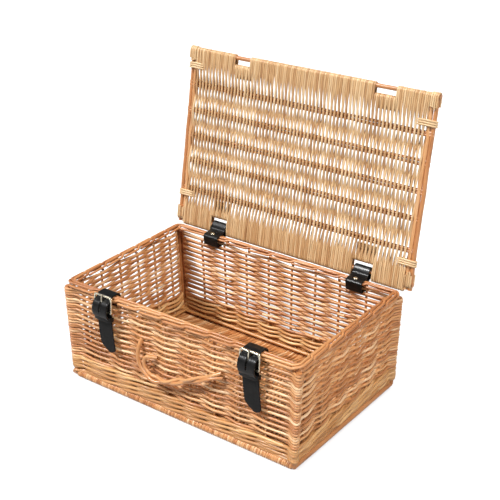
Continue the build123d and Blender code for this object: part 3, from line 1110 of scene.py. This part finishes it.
def thicken(piece, hide, rounding):
    """Gives a sheet of leather its thickness and eases its cut edges."""
    skin = piece.modifiers.new("leather_thickness", "SOLIDIFY")
    skin.thickness = hide * MM
    skin.offset = 0.0
    edge = piece.modifiers.new("cut_edge", "BEVEL")
    edge.width = rounding * MM
    edge.segments = 2
    edge.limit_method = "ANGLE"
    edge.angle_limit = math.radians(50.0)


def cut_slit(bm, x):
    gone = []
    for face in bm.faces:
        middle = face.calc_center_median() / MM
        if abs(middle.x - x) < SLIT_HALF and SLIT[0] < middle.z < SLIT[1] and -middle.y > SLIT_FRONT:
            gone.append(face)
    bmesh.ops.delete(bm, geom=gone, context="FACES")


def strip(name, x, knots, width, material, body, stands_for, edges=None, slit=False, loop=False):
    """A strap: a flat grid laid along knots, thickened.

    edges gives its two edges along it, slit cuts the prong's slit, and loop closes it on itself
    at the back of the basket.
    """
    line = along_path(knots, 5)
    bm, corners = grid_along(line, 15)
    for vert, step, across in corners:
        here = line[step]
        if slit and abs(across) < SLIT_COLUMN:
            across *= SLIT_SPREAD
        ends = edges(step / (len(line) - 1)) if edges else (-1.0, 1.0)
        side = lerp(*ends, across * 0.5 + 0.5)
        out = here.y if loop else -here.y
        vert.co = Vector((x + here.x + side * width / 2.0, out, here.z)) * MM
    if slit:
        cut_slit(bm, x)
    if loop:
        bmesh.ops.remove_doubles(bm, verts=bm.verts, dist=0.0002)
    mesh = mesh_from(bm, name, True)
    thicken(place_piece(name, mesh, material, body, stands_for), HIDE, 0.5)


def keeper(side):
    """A narrow band bent round the front of the strap below the frame, its two ends reaching behind
    it.
    """
    line = along_path(KEEPER, 4)
    bm, corners = grid_along(line, 4)
    for vert, step, across in corners:
        _, sideways, out = line[step]
        up = KEEPER_MIDDLE + KEEPER_HALF * across + out * KEEPER_TILT
        vert.co = Vector((STRAP_X[side] + sideways, -(KEEPER_BACK + out), up)) * MM
    name = side + "_keeper_loop"
    mesh = mesh_from(bm, name, True)
    nodes = (side + "_strap_keeper",)
    piece = place_piece(name, mesh, black_leather, "basket", nodes)
    thicken(piece, KEEPER_HIDE, 0.4)


RIVET_ASIDE = 2.0
RIVET_PLACE = (132.0, 179.9)
RIVET_SIZE = (4.1, 4.1, 2.4)
RIVET_TILT = math.radians(4.0)
RIVET_FLAT = -0.35


def rivet(side):
    """A domed rivet head, flat under, on the hinge strap."""
    bm = bmesh.new()
    bmesh.ops.create_uvsphere(bm, u_segments=24, v_segments=12, radius=1.0)
    for vert in bm.verts:
        vert.co.z = max(vert.co.z, RIVET_FLAT)
    bmesh.ops.scale(bm, vec=Vector(RIVET_SIZE) * MM, verts=bm.verts)
    place = Matrix.Translation(Vector((HINGE_X[side] + RIVET_ASIDE, *RIVET_PLACE)) * MM)
    bmesh.ops.transform(bm, matrix=place @ Matrix.Rotation(RIVET_TILT, 4, "X"), verts=bm.verts)
    bmesh.ops.recalc_face_normals(bm, faces=bm.faces)
    name = side + "_rivet_head"
    mesh = mesh_from(bm, name, True)
    place_piece(name, mesh, pale_brass, "basket", (side + "_hinge_rivet",))


def leather_work():
    for side, x in STRAP_X.items():
        strip(
            side + "_rim_band", x, BAND, BAND_WIDTH, black_leather, "basket", (side + "_strap_band",),
            edges=band_end, slit=True,
        )
        strip(side + "_fold_behind", x, FOLD, FOLD_WIDTH, dull_leather, "basket", ())
        strip(
            side + "_hanging_tail", x, TAIL, TAIL_WIDTH, dull_leather, side + "_strap_end",
            (side + "_strap_tail",), edges=tail_tip,
        )
        keeper(side)
        strip(
            side + "_hinge_strap", HINGE_X[side], HINGE, BAND_WIDTH, black_leather, "basket",
            (side + "_hinge_loop",), loop=True,
        )
        rivet(side)


# ------------------------ floor, light and camera

FLOOR_HALF = 23.5
FLOOR_DROP = 0.0005
DOME_RADIUS = 24.0
# Under the basket the floor's glow fades out between these two distances from the middle, into a dark
# brown painted shadow.
PAINTED_SHADOW_ALONG = (0.205, 0.228)
PAINTED_SHADOW_ACROSS = (0.118, 0.140)
WHITE = (1.0, 1.0, 1.0)
# Each light: compass angle from the front, height, softness (all in degrees), and power.
SUNS = {
    "key_light": (-40.0, 48.0, 9.0, 3.4),
    "fill_light": (70.0, 50.0, 14.0, 2.35),
    "back_light": (165.0, 66.0, 50.0, 0.35),
}
SKY_LIGHT = 0.2
CAMERA_AIM = (0.03752, 0.0, 0.24965)
CAMERA_AZIMUTH = 36.86
CAMERA_RISE = 25.36
CAMERA_ROLL = -0.36
CAMERA_DISTANCE = 1.6534
CAMERA_LENS = 77.506


def direction(azimuth, rise):
    """The way towards a compass angle from the front and a height, both in degrees."""
    turn, climb = math.radians(azimuth), math.radians(rise)
    flat = math.cos(climb)
    return Vector((math.sin(turn) * flat, -math.cos(turn) * flat, math.sin(climb)))


def face_back(thing, away):
    """Turns a light or a camera to look against away."""
    thing.rotation_mode = "QUATERNION"
    thing.rotation_quaternion = away.to_track_quat("Z", "Y")


def staged(bm, name):
    """A part of the studio, not of the basket."""
    thing = in_scene(name, mesh_from(bm, name, False))
    return thing


def backdrop():
    """A white dome far off, seen by the camera alone."""
    bm = bmesh.new()
    bmesh.ops.create_uvsphere(bm, u_segments=32, v_segments=16, radius=DOME_RADIUS)
    bmesh.ops.reverse_faces(bm, faces=bm.faces)
    dome = staged(bm, "studio_backdrop")
    dome.visible_diffuse = dome.visible_glossy = False
    dome.visible_transmission = dome.visible_shadow = False
    white = Finish("white_backdrop", Roughness=1.0, Emission_Strength=1.05)
    white.drive("Base Color", (0.0, 0.0, 0.0))
    white.drive("Emission Color", WHITE)
    dome.data.materials.append(white.material)


def studio_floor():
    """A pale floor, lit and glowing. Its glow stays on the floor; under the basket it gives way to a
    dark brown painted shadow.
    """
    bm = bmesh.new()
    bmesh.ops.create_grid(bm, x_segments=1, y_segments=1, size=FLOOR_HALF)
    floor = staged(bm, "studio_floor")
    floor.location.z = -FLOOR_DROP
    glow_stays = bpy.data.collections.new("floor_glow_stays_here")
    glow_stays.objects.link(floor)
    floor.light_linking.receiver_collection = glow_stays
    paper = Finish("pale_paper", Roughness=0.9, Emission_Strength=0.66)
    place = paper.node("TexCoord", {}, {}, "Object")
    fleck = paper.grain(place, 90.0, 2.0)
    paper.drive("Base Color", paper.mix(fleck, (0.44, 0.44, 0.44), (0.47, 0.47, 0.47)))
    along, across = (paper.node("SeparateXYZ", {}, {0: place}, axis).size() for axis in "XY")
    outside_painted_shadow = along.between(*PAINTED_SHADOW_ALONG).larger(across.between(*PAINTED_SHADOW_ACROSS))
    # Painted shadow: the floor glows dark brown under the basket and white beyond it.
    paper.drive("Emission Color", paper.mix(outside_painted_shadow, (0.03, 0.012, 0.004), WHITE))
    floor.data.materials.append(paper.material)


def lights():
    world = bpy.data.worlds.new("studio")
    world.use_nodes = True
    sky = world.node_tree.nodes["Background"]
    sky.inputs["Color"].default_value = (*WHITE, 1.0)
    sky.inputs["Strength"].default_value = SKY_LIGHT
    bpy.context.scene.world = world
    for name, (azimuth, rise, softness, power) in SUNS.items():
        lamp = bpy.data.lights.new(name, "SUN")
        lamp.angle = math.radians(softness)
        lamp.energy = power
        holder = in_scene(name, lamp)
        away = direction(azimuth, rise)
        holder.location = away * 4.0
        face_back(holder, away)


def camera():
    eye = bpy.data.cameras.new("camera")
    eye.sensor_width = 36.0
    eye.lens = CAMERA_LENS
    holder = in_scene("camera", eye)
    back = direction(CAMERA_AZIMUTH, CAMERA_RISE)
    holder.location = Vector(CAMERA_AIM) + back * CAMERA_DISTANCE
    face_back(holder, back)
    holder.rotation_quaternion @= Quaternion((0.0, 0.0, 1.0), math.radians(CAMERA_ROLL))
    bpy.context.scene.camera = holder
    bpy.context.scene.view_settings.view_transform = "Standard"


camera()
studio_floor()
backdrop()
lights()
wall_weave()
bottom_waling()
upright_rods()
rim_border()
lid_weave()
lid_sticks()
corner_bindings()
base_panel()
handle_rods()
leather_work()

# The buckles' frames and prongs stay as the frame has them, with a brass finish.
for node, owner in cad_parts.items():
    if node.endswith(("buckle_frame", "buckle_prong")):
        owner.data.materials.clear()
        owner.data.materials.append(pale_brass)
